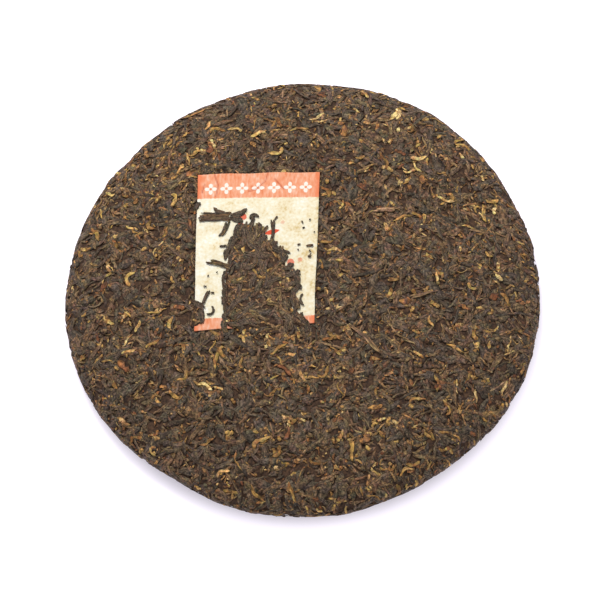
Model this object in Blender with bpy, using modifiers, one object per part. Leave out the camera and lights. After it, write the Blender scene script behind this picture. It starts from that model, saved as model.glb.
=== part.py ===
"""A pressed cake of pu-erh tea with a paper ticket bedded in its top.

Units are metres and +Z is up. The origin is the centre of the underside, where the cake rests.
+Y runs along the ticket's long edges, towards its header band.
"""

import math

import bpy
from mathutils import Vector, noise

MM = 0.001

# The cake: a domed disc with a rounded rim and, underneath, the hollow left by the bag's knot.
CAKE_RADIUS = 100 * MM
CROWN_HEIGHT = 23 * MM
RIM_HEIGHT = 8 * MM
DOME_POWER = 3.2
FOOT_RADIUS = 86 * MM
HOLLOW_RADIUS = 27 * MM
HOLLOW_DEPTH = 9 * MM
HOLLOW_POWER = 1.5

# How far the rim bulges (+) or is flattened (-): angle in degrees, spread in degrees, depth.
RIM_WAVES = (
    (-25, 14, 0.8 * MM),
    (-55, 12, -0.4 * MM),
    (-85, 12, 0.5 * MM),
    (-123, 11, -1.8 * MM),
    (-165, 18, 0.9 * MM),
    (140, 12, -0.7 * MM),
    (110, 12, -0.6 * MM),
    (65, 18, 0.9 * MM),
    (25, 14, -0.9 * MM),
)

# Unevenness that pressed leaves leave on the top and the rim.
RELIEF_SIZE = 8 * MM
RELIEF_HEIGHT = 1.6 * MM
RIM_NOTCH = 1.6 * MM

# The ticket: a thin slip of paper, modelled thicker than paper so that it is a sound solid.
TICKET_HEAD_WIDTH = 52.4 * MM
TICKET_FOOT_WIDTH = 49.8 * MM
TICKET_LENGTH = 72 * MM
TICKET_SKEW = 3.1 * MM
TICKET_CENTRE = Vector((-18.6 * MM, 14.3 * MM))
TICKET_THICKNESS = 0.3 * MM
TICKET_RISE = 0.1 * MM
CLEARANCE = 0.3 * MM

# Tea pressed over the ticket, as ridges: centre from the ticket's centre, half length, half
# width and height, all in millimetres, and the ridge's direction in degrees.
COVER_RIDGES = {
    "cover_upper": (-2.8, 5.0, 10.0, 5.6, 1.6, 84),
    "cover_left_shoulder": (-9.0, 0.6, 4.6, 3.6, 1.4, 70),
    "cover_right_shoulder": (9.4, -1.6, 5.6, 2.8, 1.4, -24),
    "cover_middle": (1.2, -11.0, 13.0, 9.6, 1.7, 4),
    "cover_right_point": (14.0, -13.0, 5.6, 2.6, 1.2, 10),
    "cover_lower": (2.8, -21.5, 14.2, 12.5, 1.7, 20),
    "cover_foot": (5.2, -33.0, 15.6, 9.0, 1.6, 2),
    "cover_corner": (-23.4, -30.4, 7.0, 3.2, 1.4, 84),
    "leaf_wide": (-16.6, 15.0, 12.0, 2.2, 1.2, 2),
    "leaf_branch": (-13.4, 9.6, 4.6, 1.1, 1.0, 65),
    "leaf_upright": (5.6, 6.6, 8.6, 1.0, 1.1, 76),
    "leaf_finger": (-15.0, -7.4, 6.0, 1.4, 1.2, -15),
}

# Facets
TURN_STEPS = 104
DOME_RINGS = 20
RIM_RINGS = 6
FOOT_RINGS = 3
HOLLOW_RINGS = 6
TICKET_COLUMNS = 10
TICKET_ROWS = 14
RIDGE_SEGMENTS = 16
RIDGE_RINGS = 8


def clear_scene():
    for old in list(bpy.data.objects):
        bpy.data.objects.remove(old)


def new_collection(name):
    collection = bpy.data.collections.new(name)
    bpy.context.scene.collection.children.link(collection)
    return collection


def move_to(collection, obj):
    for old in list(obj.users_collection):
        old.objects.unlink(obj)
    collection.objects.link(obj)


def material(name, colour, roughness):
    made = bpy.data.materials.new(name)
    made.use_nodes = True
    shader = made.node_tree.nodes["Principled BSDF"]
    shader.inputs["Base Color"].default_value = (*colour, 1.0)
    shader.inputs["Roughness"].default_value = roughness
    shader.inputs["Metallic"].default_value = 0.0
    return made


def dome_height(radius):
    """Height of the smooth top at a radius: a superellipse from the crown to the rim."""
    reach = min(radius / CAKE_RADIUS, 1.0)
    return RIM_HEIGHT + (CROWN_HEIGHT - RIM_HEIGHT) * math.sqrt(1.0 - reach**DOME_POWER)


def hollow_height(radius):
    """Height of the underside's hollow above the foot, zero and level at its edge."""
    reach = min(radius / HOLLOW_RADIUS, 1.0)
    return HOLLOW_DEPTH * (1.0 - reach * reach) ** HOLLOW_POWER


def cake_profile():
    """(radius, height) from the crown outwards, round the rim and under to the middle."""
    points = []
    for step in range(DOME_RINGS + 1):
        # Rings crowd towards the rim, where the dome is steepest.
        radius = CAKE_RADIUS * math.sin(0.5 * math.pi * step / DOME_RINGS)
        points.append((radius, dome_height(radius)))
    for step in range(1, RIM_RINGS + 1):
        turn = 0.5 * math.pi * step / RIM_RINGS
        radius = FOOT_RADIUS + (CAKE_RADIUS - FOOT_RADIUS) * math.cos(turn)
        points.append((radius, RIM_HEIGHT * (1.0 - math.sin(turn))))
    for step in range(1, FOOT_RINGS + 1):
        points.append((FOOT_RADIUS + (HOLLOW_RADIUS - FOOT_RADIUS) * step / FOOT_RINGS, 0.0))
    for step in range(1, HOLLOW_RINGS + 1):
        radius = HOLLOW_RADIUS * (1.0 - step / HOLLOW_RINGS)
        points.append((radius, hollow_height(radius)))
    return points


def turned_solid(name, profile):
    """The profile turned once round Z, as a mesh object."""
    mesh = bpy.data.meshes.new(name + "_profile")
    corners = [(radius, 0.0, height) for radius, height in profile]
    mesh.from_pydata(corners, [(i, i + 1) for i in range(len(corners) - 1)], [])
    guide = bpy.data.objects.new(name + "_profile", mesh)
    bpy.context.scene.collection.objects.link(guide)
    screw = guide.modifiers.new("turn", "SCREW")
    screw.axis = "Z"
    screw.angle = math.tau
    screw.steps = TURN_STEPS
    screw.render_steps = TURN_STEPS
    screw.use_merge_vertices = True
    screw.merge_threshold = 0.01 * MM
    evaluated = guide.evaluated_get(bpy.context.evaluated_depsgraph_get())
    solid = bpy.data.objects.new(name, bpy.data.meshes.new_from_object(evaluated))
    bpy.data.objects.remove(guide)
    return solid


def rim_wave(angle):
    """How far the outline stands out at an angle, from the broad waves of the rim."""
    offset = 0.0
    for centre, spread, depth in RIM_WAVES:
        apart = (math.degrees(angle) - centre + 180.0) % 360.0 - 180.0
        offset += depth * math.exp(-((apart / spread) ** 2))
    return offset


def bump(place, size):
    """Smooth noise between about -0.5 and 0.5 whose lumps are about this size."""
    return noise.noise(place / size, noise_basis="PERLIN_ORIGINAL") * 0.5


def smooth_step(value):
    value = min(max(value, 0.0), 1.0)
    return value * value * (3.0 - 2.0 * value)


def clear_of_ticket(x, y):
    """0 over the ticket, where the bed is smooth, rising to 1 about 6 mm outside it."""
    out_x = abs(x - TICKET_CENTRE.x) - 0.5 * TICKET_HEAD_WIDTH
    out_y = abs(y - TICKET_CENTRE.y) - 0.5 * TICKET_LENGTH
    return smooth_step((max(out_x, out_y) - 1.5 * MM) / (4.5 * MM))


def press_shape(cake):
    """Gives the turned disc its uneven rim and the relief of pressed leaves."""
    for vertex in cake.data.vertices:
        place = vertex.co.copy()
        radius = math.hypot(place.x, place.y)
        lifted = smooth_step(place.z / (0.5 * RIM_HEIGHT))
        if radius < 1e-6:
            continue
        outward = Vector((place.x, place.y, 0.0)) / radius
        reach = (radius / CAKE_RADIUS) ** 2
        notch = RIM_NOTCH * bump(place, RELIEF_SIZE) * lifted
        vertex.co += outward * (rim_wave(math.atan2(place.y, place.x)) + notch) * reach
        if place.z > max(RIM_HEIGHT, HOLLOW_DEPTH):
            height = RELIEF_HEIGHT * bump(place + Vector((0.3, 0.1, 0.0)), RELIEF_SIZE)
            vertex.co.z += height * clear_of_ticket(place.x, place.y)


def ticket_sheet(name, margin, rise, thickness):
    """The ticket's slip, laid on the dome, larger all round by a margin.

    Its top lies at this rise above the smooth dome. It is cut a little askew: narrower at the
    foot than at the head, with a lower edge that climbs to the right.
    """
    bpy.ops.mesh.primitive_grid_add(x_subdivisions=TICKET_COLUMNS, y_subdivisions=TICKET_ROWS, size=1.0)
    sheet = bpy.context.object
    sheet.name = name
    for vertex in sheet.data.vertices:
        across, along = vertex.co.x, vertex.co.y
        width = TICKET_FOOT_WIDTH + (TICKET_HEAD_WIDTH - TICKET_FOOT_WIDTH) * (along + 0.5)
        x = TICKET_CENTRE.x + across * (width + 2.0 * margin)
        y = TICKET_CENTRE.y + along * (TICKET_LENGTH + 2.0 * margin)
        y += TICKET_SKEW * across * (0.5 - along)
        vertex.co = (x, y, dome_height(math.hypot(x, y)) + rise)
    solidify = sheet.modifiers.new("thickness", "SOLIDIFY")
    solidify.thickness = thickness
    solidify.offset = -1.0
    return sheet


def cover_ridge(name, x, y, half_length, half_width, height, direction):
    """One ridge of tea over the ticket: a flattened ball whose middle is level with the dome."""
    bpy.ops.mesh.primitive_uv_sphere_add(segments=RIDGE_SEGMENTS, ring_count=RIDGE_RINGS, radius=1.0)
    ridge = bpy.context.object
    ridge.name = name
    middle = TICKET_CENTRE + Vector((x * MM, y * MM))
    ridge.scale = (half_length * MM, half_width * MM, (height + 0.4) * MM)
    ridge.rotation_euler = (0.0, 0.0, math.radians(direction))
    ridge.location = (middle.x, middle.y, dome_height(middle.length))
    return ridge


def as_cutter(obj, collection):
    move_to(collection, obj)
    obj.hide_render = True
    obj.display_type = "WIRE"


def boolean(obj, operation, operand=None, collection=None):
    modifier = obj.modifiers.new(operation.lower(), "BOOLEAN")
    modifier.operation = operation
    modifier.solver = "EXACT"
    if collection is not None:
        modifier.operand_type = "COLLECTION"
        modifier.collection = collection
        modifier.use_self = True
    else:
        modifier.object = operand
    return modifier


def make_cake(parts, ridges, cutters):
    cake = turned_solid("tea_cake", cake_profile())
    parts.objects.link(cake)
    press_shape(cake)
    for name, ridge in COVER_RIDGES.items():
        as_cutter(cover_ridge(name, *ridge), ridges)
    boolean(cake, "UNION", collection=ridges)
    pocket = ticket_sheet(
        "ticket_pocket",
        CLEARANCE,
        TICKET_RISE + CLEARANCE,
        TICKET_THICKNESS + 2.0 * CLEARANCE,
    )
    as_cutter(pocket, cutters)
    boolean(cake, "DIFFERENCE", operand=pocket)
    cake.data.materials.clear()
    cake.data.materials.append(material("pressed_dark_tea", (0.105, 0.071, 0.043), 0.75))
    cake.data.shade_smooth()
    cake.data.set_sharp_from_angle(angle=math.radians(40))


def make_ticket(parts):
    ticket = ticket_sheet("ticket", 0.0, TICKET_RISE, TICKET_THICKNESS)
    move_to(parts, ticket)
    ticket.data.materials.append(material("ticket_paper", (0.93, 0.86, 0.68), 0.85))


def main():
    clear_scene()
    parts = new_collection("pu_erh_tea_cake")
    ridges = new_collection("cover_ridges")
    cutters = new_collection("cutters")
    make_cake(parts, ridges, cutters)
    make_ticket(parts)


main()
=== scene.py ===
import math

import bpy
import numpy as np
from mathutils import Matrix, Vector


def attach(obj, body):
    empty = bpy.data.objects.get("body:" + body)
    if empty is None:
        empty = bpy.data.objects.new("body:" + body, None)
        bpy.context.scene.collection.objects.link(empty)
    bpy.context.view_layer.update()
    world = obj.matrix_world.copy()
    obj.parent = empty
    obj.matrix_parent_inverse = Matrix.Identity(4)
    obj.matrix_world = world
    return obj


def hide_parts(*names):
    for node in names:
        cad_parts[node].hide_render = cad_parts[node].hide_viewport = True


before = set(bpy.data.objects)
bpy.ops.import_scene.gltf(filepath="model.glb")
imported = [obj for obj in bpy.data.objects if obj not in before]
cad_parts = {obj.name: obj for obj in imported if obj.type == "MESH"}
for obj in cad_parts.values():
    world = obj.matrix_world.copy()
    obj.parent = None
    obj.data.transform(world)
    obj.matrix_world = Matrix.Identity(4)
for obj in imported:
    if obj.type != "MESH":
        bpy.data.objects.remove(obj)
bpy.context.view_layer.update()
mm = 0.001

# The cake's true form, as it was pressed: a domed disc, a rounded rim, a flat foot and the knot's hollow.
cakeShape = {
    "radius": 100 * mm,
    "crown": 23 * mm,
    "rim": 8 * mm,
    "domePower": 3.2,
    "foot": 86 * mm,
    "hollowRadius": 27 * mm,
    "hollowDepth": 9 * mm,
    "hollowPower": 1.5,
    # angle and spread in degrees, then how far the outline bulges in mm
    "rimWaves": ((-25, 14, 0.8), (-55, 12, -0.4), (-85, 12, 0.5), (-123, 11, -1.8), (-165, 18, 0.9),
                 (140, 12, -0.7), (110, 12, -0.6), (65, 18, 0.9), (25, 14, -0.9)),
}
# The ticket's slip, from the cake's middle: narrower at the foot, its lower edge climbing to the right.
ticketShape = {
    "x": -19 * mm,
    "y": 14.5 * mm,
    "headWidth": 52.4 * mm,
    "footWidth": 49.8 * mm,
    "length": 72 * mm,
    "skew": 3.1 * mm,
    "rise": 0.14 * mm,
}


def linear(hexColour):
    # An sRGB hex colour as linear numbers.
    channels = [int(hexColour[i:i + 2], 16) / 255 for i in (1, 3, 5)]
    return [c / 12.92 if c <= 0.04045 else ((c + 0.055) / 1.055) ** 2.4 for c in channels]


def addNode(tree, kind, inputs=None, **settings):
    # Adds a node, sets its properties, and links or sets each named input.
    node = tree.nodes.new(kind)
    for name, value in settings.items():
        setattr(node, name, value)
    for socket, value in (inputs or {}).items():
        if isinstance(value, bpy.types.NodeSocket):
            tree.links.new(value, node.inputs[socket])
        else:
            node.inputs[socket].default_value = value
    return node


def newMaterial(name):
    material = bpy.data.materials.new(name)
    material.use_nodes = True
    return material, material.node_tree, material.node_tree.nodes["Principled BSDF"]


def setRamp(node, stops):
    # The ramp's stops are (place, hex colour) pairs.
    ramp = node.color_ramp
    while len(ramp.elements) < len(stops):
        ramp.elements.new(0.5)
    for element, (place, colour) in zip(ramp.elements, stops):
        element.position = place
        element.color = (*linear(colour), 1)


def smoothStep(value):
    # 3v^2 - 2v^3 of the value held between 0 and 1.
    value = np.clip(value, 0, 1)
    return value * value * (3 - 2 * value)


def lumps(x, y, z, size, seed=0.0):
    # Value noise from -1 to 1: random numbers on a lattice of this size, blended smoothly between.
    place = np.stack(np.broadcast_arrays(x, y, z), -1) / size
    corner = np.floor(place)
    part = place - corner
    weight = part * part * (3 - 2 * part)
    total = 0
    for dx in (0, 1):
        for dy in (0, 1):
            for dz in (0, 1):
                spot = corner + (dx, dy, dz)
                wild = np.sin(spot @ np.array([127.1, 311.7, 74.7]) + seed * 17.3) * 43758.5453
                share = np.abs(1 - dx - weight[..., 0]) * np.abs(1 - dy - weight[..., 1])
                total = total + (wild - np.floor(wild)) * share * np.abs(1 - dz - weight[..., 2])
    return 2 * total - 1


def meshPiece(name, points, corners, starts, uv, material):
    # A mesh from whole arrays: points, the corners of every face in one row, where each face starts, UVs.
    mesh = bpy.data.meshes.new(name)
    mesh.vertices.add(len(points))
    mesh.vertices.foreach_set("co", np.ascontiguousarray(points, np.float32).ravel())
    mesh.loops.add(len(corners))
    mesh.loops.foreach_set("vertex_index", np.ascontiguousarray(corners, np.int32))
    mesh.polygons.add(len(starts))
    mesh.polygons.foreach_set("loop_start", np.ascontiguousarray(starts, np.int32))
    mesh.update(calc_edges=True)
    if uv is not None:
        layer = mesh.uv_layers.new(name="OFBake", do_init=False)
        layer.uv.foreach_set("vector", np.ascontiguousarray(uv, np.float32).ravel())
    mesh.shade_smooth()
    mesh.materials.append(material)
    piece = bpy.data.objects.new(name, mesh)
    bpy.context.scene.collection.objects.link(piece)
    return piece


# The surface unrolled: reach is the way along the profile from the middle, with its radius, height and
# outward direction at each reach. A flat drawing laid on this chart wraps over the dome and round the rim.
def makeChart(radius, height, side):
    step = np.hypot(np.diff(radius), np.diff(height))
    reach = np.concatenate([[0], np.cumsum(step)])
    slopeR, slopeZ = np.gradient(radius, reach), np.gradient(height, reach)
    return {"reach": reach, "radius": radius, "height": height, "outR": -side * slopeZ, "outZ": side * slopeR}


def domeHeight(radius):
    # rim + (crown - rim) * sqrt(1 - (radius / cake radius) ^ power)
    shape = cakeShape
    inside = 1 - np.clip(radius / shape["radius"], 0, 1) ** shape["domePower"]
    return shape["rim"] + (shape["crown"] - shape["rim"]) * np.sqrt(inside)


def hollowHeight(radius):
    # depth * (1 - (radius / hollow radius) ^ 2) ^ power
    shape = cakeShape
    inside = 1 - np.clip(radius / shape["hollowRadius"], 0, 1) ** 2
    return shape["hollowDepth"] * inside ** shape["hollowPower"]


chartSteps = 400


def cakeCharts():
    # The upper chart runs from the crown over the rim to the foot, the lower one from the hollow up the rim.
    shape = cakeShape
    turn = np.linspace(0, math.pi / 2, chartSteps)
    domeR = shape["radius"] * np.sin(turn)
    rimR = shape["foot"] + (shape["radius"] - shape["foot"]) * np.cos(turn)
    rimZ = shape["rim"] * (1 - np.sin(turn))
    inward = np.linspace(shape["foot"], 0, 200)[1:]
    upper = makeChart(
        np.concatenate([domeR, rimR[1:], inward[:60]]),
        np.concatenate([domeHeight(domeR), rimZ[1:], 0 * inward[:60]]), 1)
    outward = np.linspace(0, shape["foot"], 500)
    lower = makeChart(
        np.concatenate([outward, rimR[::-1][1:]]),
        np.concatenate([hollowHeight(outward), rimZ[::-1][1:]]), -1)
    return upper, lower


def rimWave(angle):
    # The sum of depth * exp(-((angle from its centre) / spread) ^ 2) over the broad waves.
    degrees = np.degrees(angle)
    total = 0
    for centre, spread, depth in cakeShape["rimWaves"]:
        apart = (degrees - centre + 180) % 360 - 180
        total = total + depth * mm * np.exp(-(apart / spread) ** 2)
    return total


def wrap(chart, x, y, lift):
    # A chart point (x, y) raised by lift: turned to (angle, reach), put on the profile, pushed outwards.
    reach, angle = np.hypot(x, y), np.arctan2(y, x)
    radius, height, outR, outZ = (
        np.interp(reach, chart["reach"], chart[name]) for name in ("radius", "height", "outR", "outZ"))
    radius = radius + rimWave(angle) * (radius / cakeShape["radius"]) ** 2 + outR * lift
    height = height + outZ * lift
    floorGap = 0.06 * mm  # nothing sinks below the surface the cake rests on
    height = np.where(height > floorGap, height, floorGap * np.exp(np.minimum(height / floorGap - 1, 0)))
    return np.stack([radius * np.cos(angle), radius * np.sin(angle), height], -1)


def insideTicket(x, y):
    # How far a point lies inside the ticket's edges; negative is outside.
    shape = ticketShape
    alongX, alongY = x - shape["x"], y - shape["y"]
    width = shape["footWidth"] + (shape["headWidth"] - shape["footWidth"]) * (alongY / shape["length"] + 0.5)
    low = shape["skew"] * alongX / width - 0.5 * shape["length"]
    return np.minimum(0.5 * width - np.abs(alongX), np.minimum(0.5 * shape["length"] - alongY, alongY - low))


# The tea pressed over the ticket: its foot, its right shoulder, its waist and its crown, as rows of (y, left
# edge, right edge) in mm from the ticket's middle.
coverRows = np.array([(-39, -12, 24), (-34, -12, 21), (-28, -12, 16), (-22, -13, 16), (-14, -13, 18),
                      (-8, -11, 13), (-1, -12, 10), (4, -10, 4), (12, -5, -1)]) * mm
cornerClump = {"x": -25 * mm, "y": -30 * mm, "halfWidth": 4 * mm, "halfLength": 6 * mm}


def insideCover(x, y):
    # How far a point lies inside the tea over the ticket, in its main mass or in the clump at the lower left.
    alongX, alongY = x - ticketShape["x"], y - ticketShape["y"]
    left, right = (np.interp(alongY, coverRows[:, 0], coverRows[:, side]) for side in (1, 2))
    mass = np.minimum(np.minimum(alongX - left, right - alongX), coverRows[-1, 0] - alongY)
    clump = cornerClump
    ring = np.hypot((alongX - clump["x"]) / clump["halfWidth"], (alongY - clump["y"]) / clump["halfLength"])
    return np.maximum(mass, (1 - ring) * clump["halfWidth"])


upperChart, lowerChart = cakeCharts()
rimReach = upperChart["reach"][chartSteps - 1]
footReach = upperChart["reach"][2 * chartSteps - 2]
print("charts made: rim at", round(rimReach / mm, 1), "mm, foot at", round(footReach / mm, 1), "mm")


view = {
    "azimuth": 7.0,
    "elevation": 65.4,
    "roll": 6.531,
    "lens": 200,
    "width": 253.5 * mm,   # across the view at the rim's height
    "right": 1.07 * mm,
    "up": 2.37 * mm,
}


def makeCamera():
    # The camera's axes: back from azimuth and elevation, right level with the floor, both turned by the roll.
    a, e, roll = (math.radians(view[name]) for name in ("azimuth", "elevation", "roll"))
    back = Vector((math.sin(a) * math.cos(e), -math.cos(a) * math.cos(e), math.sin(e)))
    level = Vector((math.cos(a), math.sin(a), 0))
    above = back.cross(level)
    right = level * math.cos(roll) - above * math.sin(roll)
    up = level * math.sin(roll) + above * math.cos(roll)
    camera = bpy.data.objects.new("camera", bpy.data.cameras.new("camera"))
    camera.data.lens = view["lens"]
    camera.data.sensor_width = 36
    camera.data.clip_start = 0.01
    distance = view["width"] * view["lens"] / 36
    place = Vector((0, 0, cakeShape["rim"])) - right * view["right"] - up * view["up"] + back * distance
    camera.matrix_world = Matrix((
        (right.x, up.x, back.x, place.x),
        (right.y, up.y, back.y, place.y),
        (right.z, up.z, back.z, place.z),
        (0, 0, 0, 1)))
    bpy.context.scene.collection.objects.link(camera)
    bpy.context.scene.camera = camera


def areaLight(name, place, size, power, colour):
    lamp = bpy.data.lights.new(name, "AREA")
    lamp.size = size
    lamp.energy = power
    lamp.color = linear(colour)
    light = bpy.data.objects.new(name, lamp)
    light.location = place
    light.rotation_euler = (-Vector(place)).to_track_quat("-Z", "Y").to_euler()
    bpy.context.scene.collection.objects.link(light)


def makeStudio():
    scene = bpy.context.scene
    scene.view_settings.view_transform = "Standard"
    world = bpy.data.worlds.new("studio")
    world.use_nodes = True
    background = world.node_tree.nodes["Background"]
    background.inputs["Color"].default_value = (*linear("#f6f3fb"), 1)
    background.inputs["Strength"].default_value = 0.46
    scene.world = world
    areaLight("keyLight", (-0.3, 0.88, 1.3), 0.6, 24, "#fff8ee")
    areaLight("fillLight", (0.7, -0.9, 1.2), 1.4, 3.4, "#fdf8f4")
    # A glowing white floor, like a light table: it shows as plain white, and its glow is lower only under the
    # cake's edge, as a painted contact shadow.
    material, tree, shader = newMaterial("whiteSweep")
    shader.inputs["Base Color"].default_value = (*linear("#bcb8c2"), 1)
    shader.inputs["Roughness"].default_value = 0.9
    shader.inputs["Emission Color"].default_value = (*linear("#f6f2fc"), 1)
    place = addNode(tree, "ShaderNodeTexCoord").outputs["Object"]
    away = addNode(tree, "ShaderNodeVectorMath", {0: place}, operation="LENGTH")
    paintedShadowGlow = addNode(tree, "ShaderNodeMapRange", {"Value": away.outputs["Value"], "From Min": 95.5 * mm,
                                                "From Max": 104.5 * mm, "To Min": 0.47, "To Max": 0.97},
                   interpolation_type="SMOOTHSTEP")
    tree.links.new(paintedShadowGlow.outputs[0], shader.inputs["Emission Strength"])
    side, drop = 3.0, -0.05 * mm
    mesh = bpy.data.meshes.new("floor")
    mesh.from_pydata([(-side, -side, drop), (side, -side, drop), (side, side, drop), (-side, side, drop)], [],
                     [(0, 1, 2, 3)])
    mesh.materials.append(material)
    floor = bpy.data.objects.new("floor", mesh)
    scene.collection.objects.link(floor)


makeCamera()
makeStudio()
print("camera, light and floor made")


# The pressed bed is the core under the loose-looking leaves; its near-black colour is painted shade for the
# gaps between them.
bedLook = {"columns": 560, "rings": 175, "depth": 0.55 * mm, "colour": "#28180e", "highColour": "#543c28"}


def bedMaterial():
    # Packed tea, painted near black as the shade in the gaps between the leaves: dull, crumbly down to half a
    # millimetre.
    material, tree, shader = newMaterial("packedTeaWithGapShade")
    place = addNode(tree, "ShaderNodeTexCoord").outputs["Object"]
    grain = addNode(tree, "ShaderNodeTexNoise", {"Vector": place, "Scale": 1 / (1.1 * mm), "Detail": 4.0})
    tint = addNode(tree, "ShaderNodeValToRGB", {"Fac": grain.outputs["Fac"]})
    setRamp(tint, [(0.38, bedLook["colour"]), (0.68, bedLook["highColour"])])
    bump = addNode(tree, "ShaderNodeBump",
                   {"Height": grain.outputs["Fac"], "Strength": 0.6, "Distance": 0.4 * mm})
    tree.links.new(tint.outputs["Color"], shader.inputs["Base Color"])
    tree.links.new(bump.outputs["Normal"], shader.inputs["Normal"])
    shader.inputs["Roughness"].default_value = 0.9
    return material


def pressLevel(x, y):
    # Height of the pressed surface over the smooth form: broad and narrower lumps, calm by the ticket.
    broad = 0.36 * lumps(x, y, 0, 11 * mm, 1.0)
    narrow = 0.22 * lumps(x, y, 0, 4.2 * mm, 2.0)
    calm = 1 - 0.75 * smoothStep((insideTicket(x, y) + 3 * mm) / (3 * mm))
    return (broad + narrow) * mm * calm


def gridCorners(rows, columns, closed):
    # The corners of every face of a grid of points, row after row; closed joins the last column to the first.
    row, column = np.meshgrid(np.arange(rows - 1), np.arange(columns - (not closed)), indexing="ij")
    after = (column + 1) % columns
    return np.stack([row * columns + column, (row + 1) * columns + column, (row + 1) * columns + after,
                     row * columns + after], -1).reshape(-1, 4)


def makeBed():
    # Angle by reach on a grid, closed at both middles: the upper chart down to the foot, then the lower one.
    columns, rings = bedLook["columns"], bedLook["rings"]
    angle = np.arange(columns) / columns * 2 * math.pi
    topRings = int(rings * 0.64)
    topReach = np.linspace(0.4 * mm, footReach, topRings)
    underReach = np.linspace(cakeShape["foot"] * 0.985, 0.4 * mm, rings - topRings)
    parts = []
    for chart, reach in ((upperChart, topReach), (lowerChart, underReach)):
        x, y = reach[:, None] * np.cos(angle), reach[:, None] * np.sin(angle)
        relief = 0.3 * lumps(x, y, 0, 1.9 * mm, 5.0) + 0.24 * lumps(x, y, 0, 0.95 * mm, 6.0)
        under = 1.1 * smoothStep((insideTicket(x, y) + 0.6 * mm) / (1 * mm)) if chart is upperChart else 0
        lift = pressLevel(x, y) - bedLook["depth"] + (relief - under) * mm
        parts.append(wrap(chart, x, y, lift).reshape(-1, 3))
    middles = np.array([[0, 0, parts[0][:columns, 2].mean()], [0, 0, parts[1][-columns:, 2].mean()]])
    points = np.concatenate(parts + [middles])
    quads = gridCorners(rings, columns, True)
    spot = np.arange(columns)
    nextSpot = (spot + 1) % columns
    last = (rings - 1) * columns
    top = np.stack([spot, nextSpot, np.full(columns, rings * columns)], -1)
    bottom = np.stack([last + nextSpot, last + spot, np.full(columns, rings * columns + 1)], -1)
    corners = np.concatenate([quads.ravel(), top.ravel(), bottom.ravel()])
    starts = np.concatenate([np.arange(len(quads)) * 4, len(quads) * 4 + np.arange(2 * columns) * 3])
    bed = meshPiece("pressedBed", points, corners, starts, None, bedMaterial())
    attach(bed, "root")
    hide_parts("tea_cake")


makeBed()
print("pressed bed made")


# Each leaf is a closed body, an uneven flattened ring carried along a bent path. Its own cell of the atlas
# holds its UVs, so that every leaf of one cell shows the same tint and grooves.
atlas = {"columns": 8, "rows": 48, "margin": 0.06}


def leafPaths(rng, x, y, direction, length, bend, wiggle, stations):
    # Stations along a path whose direction turns steadily by bend and wavers by wiggle: steps are summed up.
    t = np.linspace(0, 1, stations)
    count = len(x)
    waver = wiggle * np.sin(2 * math.pi * (t * rng.uniform(0.6, 1.4, (count, 1)) + rng.random((count, 1))))
    angle = direction[:, None] + bend[:, None] * (t - 0.5) + waver
    stepX, stepY = (f(0.5 * (angle[:, 1:] + angle[:, :-1])) * length[:, None] / (stations - 1)
                    for f in (np.cos, np.sin))
    nought = np.zeros((count, 1))
    alongX, alongY = (np.concatenate([nought, np.cumsum(step, 1)], 1) for step in (stepX, stepY))
    pathX = x[:, None] + alongX - alongX.mean(1, keepdims=True)
    pathY = y[:, None] + alongY - alongY.mean(1, keepdims=True)
    return pathX, pathY


def outline(t, blunt, end):
    # Half width along a leaf, 0 to 1: (1 - |2t - 1| ^ blunt) ^ 0.6, held above its broken end.
    return np.maximum((1 - np.abs(2 * t - 1) ** blunt) ** 0.6, end)


def pressed(x, y, lift, chart, over):
    # Soft lid: what would stand above the pressed level is squeezed down to it. Leaves run under the ticket,
    # and those that lie over it (over is 1) rise onto the paper.
    soft, squeeze = 0.1 * mm, 0.12
    above = soft * np.logaddexp(0, lift / soft)
    below = -soft * np.logaddexp(0, -lift / soft)
    level = below + squeeze * above + pressLevel(x, y)
    if chart is lowerChart:
        return level
    onPaper = smoothStep((insideTicket(x, y) + 0.3 * mm) / (0.6 * mm))
    rise = 0.72 * mm * smoothStep((insideTicket(x, y) + 1.5 * mm) / (2.5 * mm))
    return level + over * rise - (1 - over) * 1.4 * mm * onPaper


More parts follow.
